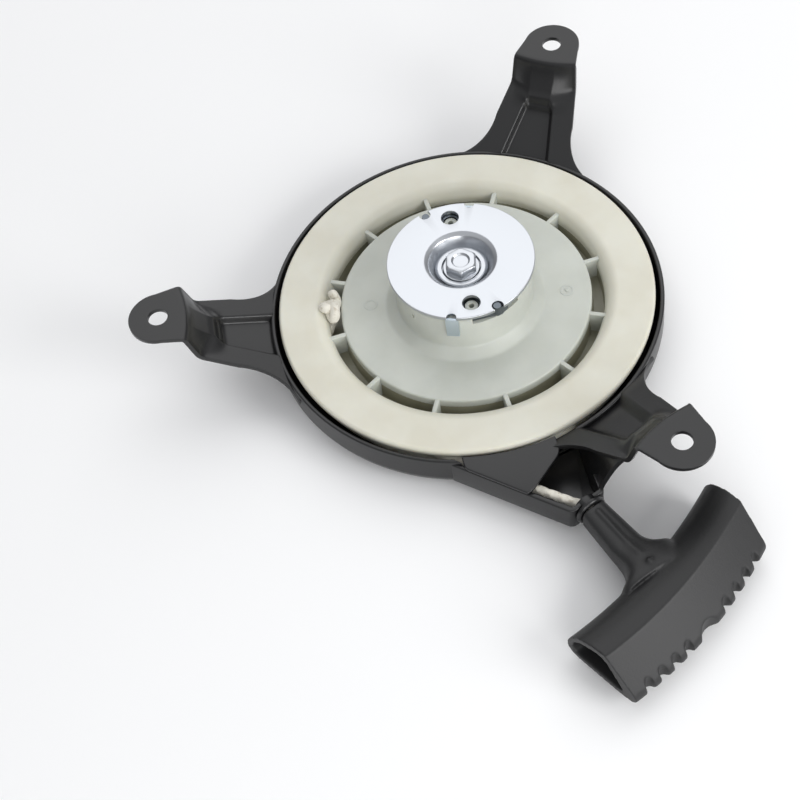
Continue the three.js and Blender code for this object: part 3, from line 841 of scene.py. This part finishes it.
def grip_knot():
    upright = Matrix.Rotation(math.radians(90), 4, "Y")
    place = Matrix.Translation(along_pull(GRIP_SEAT + 6.2)) @ upright
    path = [place @ p for p in knot_path(1.05)]
    obj = bare_object("knot_in_grip", sweep(resampled(path, 0.4), ROPE_LOOK_R, 18, 0.1))
    return finished(obj, ROPE, "handle_body", ["handle_knot"], 80)


# ---------- grip ----------
GRIP_CENTRE = 41.0
GRIP_SLANT = 13.0
GRIP_HALF = 33.5
GRIP_WIDTH = 28.0
GRIP_BOTTOM = -7.3
GRIP_SEAT = GRIP_CENTRE - GRIP_WIDTH / 2 + 6.4
GRIP_LEAN = math.tan(math.radians(GRIP_SLANT))
GRIP_BOW = 3.7
NOTCHES = (9.5, 15.3, 21.1, 26.9)
NOTCH_R = 1.5
NOTCH_INSET = 1.3
SCALLOP_R = 5.0
SCALLOP_OUT = 2.4
SCALLOP_HALF = 4.4
STEM_START = 2.4
STEM_RISE_FROM = 17.0
STEM_RISE_TO = STEM_RISE_FROM + 15
STEM_FILLET = 7.5


def bar_inner(y):
    """Where the bar's stem side runs, at y across the pull: slanted, and bowed away from the stem."""
    return GRIP_CENTRE - GRIP_WIDTH / 2 - GRIP_LEAN * y - GRIP_BOW * (y / GRIP_HALF) ** 2


def end_skew(s, y):
    """The ends aren't square to the bar: the notched side lies further along it."""
    return s / GRIP_WIDTH * (3 - 1.4 * y / GRIP_HALF)


def edge_limit(y):
    """How far out the notched edge reaches at y, measured from the stem side."""
    limit = GRIP_WIDTH
    if abs(y) < SCALLOP_HALF:
        limit = min(limit, GRIP_WIDTH + SCALLOP_OUT - math.sqrt(SCALLOP_R ** 2 - y * y))
    for at in NOTCHES:
        dy = abs(abs(y) - at)
        if dy < NOTCH_R:
            limit = min(limit, GRIP_WIDTH - NOTCH_INSET - math.sqrt(NOTCH_R ** 2 - dy * dy))
    return limit


def divided(outline, longest):
    """The closed outline with its long straight stretches divided."""
    out = []
    for i, p in enumerate(outline):
        ahead = outline[(i + 1) % len(outline)]
        count = max(1, math.ceil((ahead - p).length / longest))
        out += [p.lerp(ahead, k / count) for k in range(count)]
    return out


def grip_loft(section, half_length, corner, notched, spacing=0.3, crisp=()):
    outline = divided(filleted(section, corner, 6, crisp=crisp), 0.6)
    count = round(2 * half_length / spacing)
    points = []
    for i in range(count + 1):
        y = -half_length + 2 * half_length * i / count
        limit = edge_limit(y) if notched else GRIP_WIDTH
        for p in outline:
            s = min(p.x, limit)
            points.append(Vector((bar_inner(y) + s, y + end_skew(s, y), GRIP_BOTTOM + p.y)))
    n = len(outline)
    faces = grid_faces(count + 1, n, False, True)
    faces.append(tuple(range(n - 1, -1, -1)))
    faces.append(tuple(range(count * n, (count + 1) * n)))
    return points, faces


def stem_half_width(x, side):
    """Half the stem's width at x, on one side of it, with the fillet into the bar."""
    base = 4.6 + 1.3 * (x - STEM_START) / 20
    start = bar_inner(side * 12) + 1.5 - STEM_FILLET
    into = min(max(0.0, x - start), STEM_FILLET * 0.97)
    return base + STEM_FILLET - math.sqrt(STEM_FILLET ** 2 - into ** 2)


def squared(value, power=0.6):
    """Sine or cosine of a rounded rectangle instead of a circle."""
    return math.copysign(abs(value) ** power, value)


def stem_loft():
    """Stem that thickens and flares into the bar with wide fillets."""
    rows = 56
    sides = 48
    points = []
    for i in range(rows):
        x = STEM_START + (GRIP_CENTRE - 8 - STEM_START) * i / (rows - 1)
        grow = smoothstep(STEM_RISE_FROM, STEM_RISE_TO, x)
        up = 4.4 + 3.4 * grow
        down = 4.6 + 1.2 * grow
        for k in range(sides):
            a = 2 * math.pi * k / sides
            c = squared(math.cos(a))
            d = squared(math.sin(a))
            y = c * stem_half_width(x, 1 if c > 0 else -1)
            points.append(Vector((x, y, d * (up if d > 0 else down))))
    faces = grid_faces(rows, sides, False, True)
    faces.append(tuple(range(sides - 1, -1, -1)))
    faces.append(tuple(range((rows - 1) * sides, rows * sides)))
    return points, faces


def stem_rib():
    """Raised rib along the stem's top, ending in a small pimple."""
    path = []
    for x in (3.2, 8, 13, 18, 22, 26.5):
        path.append(Vector((x, 0, 3.7 + 3.6 * smoothstep(STEM_RISE_FROM, STEM_RISE_TO, x))))
    pimple = moved(lathe([(0, 0), (1.1, 0), (1.1, 1.0), (0, 1.2)], 0.4, 24), 29.5, 0, 7.6)
    return [sweep(resampled(path, 0.6), 1.25, 20), pimple]


def smooth_stem_joint(obj):
    """Blends the stem into the bar, and leaves the rest of the grip as it is."""
    joint = obj.vertex_groups.new(name="stem_joint")
    for v in obj.data.vertices:
        x, y, _z = v.co / MM
        on_stem = smoothstep(STEM_RISE_FROM, STEM_RISE_FROM + 4, x)
        along = on_stem * (1 - smoothstep(31, 35, x))
        near = along * (1 - smoothstep(12, 17, abs(y)))
        joint.add([v.index], near, "REPLACE")
    smooth = obj.modifiers.new("smooth_joint", "SMOOTH")
    smooth.vertex_group = joint.name
    smooth.factor = 0.5
    smooth.iterations = 60
    bake_modifiers(obj)
    obj.vertex_groups.clear()


def handle():
    section = [
        (0.2, 5), (1.2, 1.4), (4.2, 0.01), (22.5, 0.01), (26.8, 1.0), (28, 3.2), (27.4, 5.6),
        (15.8, 16.7), (11, 16.2), (5.6, 13.8), (1.6, 9.6),
    ]
    hollow = [
        (2.4, 5), (3.6, 2.6), (5, 2.2), (20.5, 2.2), (22.6, 3.4), (16.4, 12.2), (14.6, 13.6),
        (11.8, 13.6), (6, 11.2), (3.2, 8.2),
    ]
    crest = section.index((15.8, 16.7))
    obj = bare_object("grip", grip_loft(section, GRIP_HALF, 2.4, True, crisp=(crest,)))
    combine(obj, "UNION", [stem_loft(), *stem_rib()])
    rope_bore = prism(circle(ROPE_R + 0.9), -5, GRIP_SEAT + 1.6, 0)
    bore = placed(rope_bore, Matrix.Rotation(math.radians(90), 4, "Y"))
    combine(obj, "DIFFERENCE", [grip_loft(hollow, GRIP_HALF + 5, 1.0, False, 2.0), bore])
    remeshed(obj, 0.33, 4)
    smooth_stem_joint(obj)
    obj.data.transform(Matrix.Scale(MM, 4) @ TO_GRIP @ Matrix.Scale(1 / MM, 4))
    return finished(obj, GRIP, "handle_body", ["handle"], 180)


# ---------- CAD pieces that nothing replaces keep their shape and get their material ----------
def dress_cad():
    looks = {
        "centre_post": STEEL, "recoil_spring": SPRING_STEEL, "reel_bush": STEEL,
        "friction_spring": SPRING_STEEL, "pawl_1": STEEL, "pawl_2": STEEL,
        "pawl_spring_1": SPRING_STEEL, "pawl_spring_2": SPRING_STEEL, "handle_knot_washer": ZINC,
    }
    for node, material in looks.items():
        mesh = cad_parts[node].data
        mesh.materials.clear()
        mesh.materials.append(material)


# ---------- studio ----------
def floor():
    half = 3000
    corners = ((-half, -half), (half, -half), (half, half), (-half, half))
    sheet = [Vector((x, y, 0)) for x, y in corners]
    obj = bare_object("floor", (sheet, [(0, 1, 2, 3)]))
    material, _shader = surface("floor_paper", (0.94, 0.94, 0.94), 0.9)
    obj.data.materials.append(material)


def area_light(name, at, size, power):
    data = bpy.data.lights.new(name, "AREA")
    data.size = size
    data.energy = power
    obj = bpy.data.objects.new(name, data)
    obj.location = at
    obj.rotation_euler = (-Vector(at)).to_track_quat("-Z", "Y").to_euler()
    bpy.context.scene.collection.objects.link(obj)


def world_light():
    """Studio surroundings: bright above, dimmer towards the horizon, so that metal shows its shape."""
    world = bpy.data.worlds.new("studio")
    world.use_nodes = True
    tree = world.node_tree
    place = tree.nodes.new("ShaderNodeTexCoord")
    split = tree.nodes.new("ShaderNodeSeparateXYZ")
    ramp = tree.nodes.new("ShaderNodeValToRGB")
    ramp.color_ramp.elements[0].position = 0.15
    ramp.color_ramp.elements[0].color = (0.22, 0.22, 0.23, 1)
    ramp.color_ramp.elements[1].position = 0.8
    ramp.color_ramp.elements[1].color = (0.85, 0.86, 0.88, 1)
    tree.links.new(place.outputs["Generated"], split.inputs["Vector"])
    tree.links.new(split.outputs["Z"], ramp.inputs["Fac"])
    tree.links.new(ramp.outputs["Color"], tree.nodes["Background"].inputs["Color"])
    tree.nodes["Background"].inputs["Strength"].default_value = 0.72
    bpy.context.scene.world = world


def lights():
    area_light("back_softbox", (0.15, 0.8, 0.9), 1.5, 7)
    area_light("front_low", (0.1, -1.0, 0.3), 0.7, 5)
    area_light("front_right", (0.75, -0.6, 0.5), 0.5, 5)
    world_light()
    bpy.context.scene.view_settings.view_transform = "Standard"


def camera():
    data = bpy.data.cameras.new("camera")
    data.sensor_width = 36
    data.lens = 72.95
    data.clip_start = 0.01
    obj = bpy.data.objects.new("camera", data)
    right = Vector((0.97920, -0.16770, -0.11419))
    up = Vector((0.20285, 0.79890, 0.56623))
    back = right.cross(up)
    rotation = Matrix((right, up, back)).transposed()
    obj.matrix_world = Matrix.Translation((-0.03141, -0.34810, 0.45466)) @ rotation.to_4x4()
    bpy.context.scene.collection.objects.link(obj)
    bpy.context.scene.camera = obj


floor()
lights()
camera()
dress_cad()
cup()
nose()
web()
guard_plate()
eyelet()
for number, angle in enumerate(ARM_ANGLES, 1):
    arm(number, angle)
reel_flange()
reel_slot()
reel_ribs()
reel_disc()
pawl_bosses()
gate_marks()
ratchet_plate()
plate_lugs()
washer()
bolt()
wound_rope()
rope_run()
reel_knot()
handle()
grip_knot()
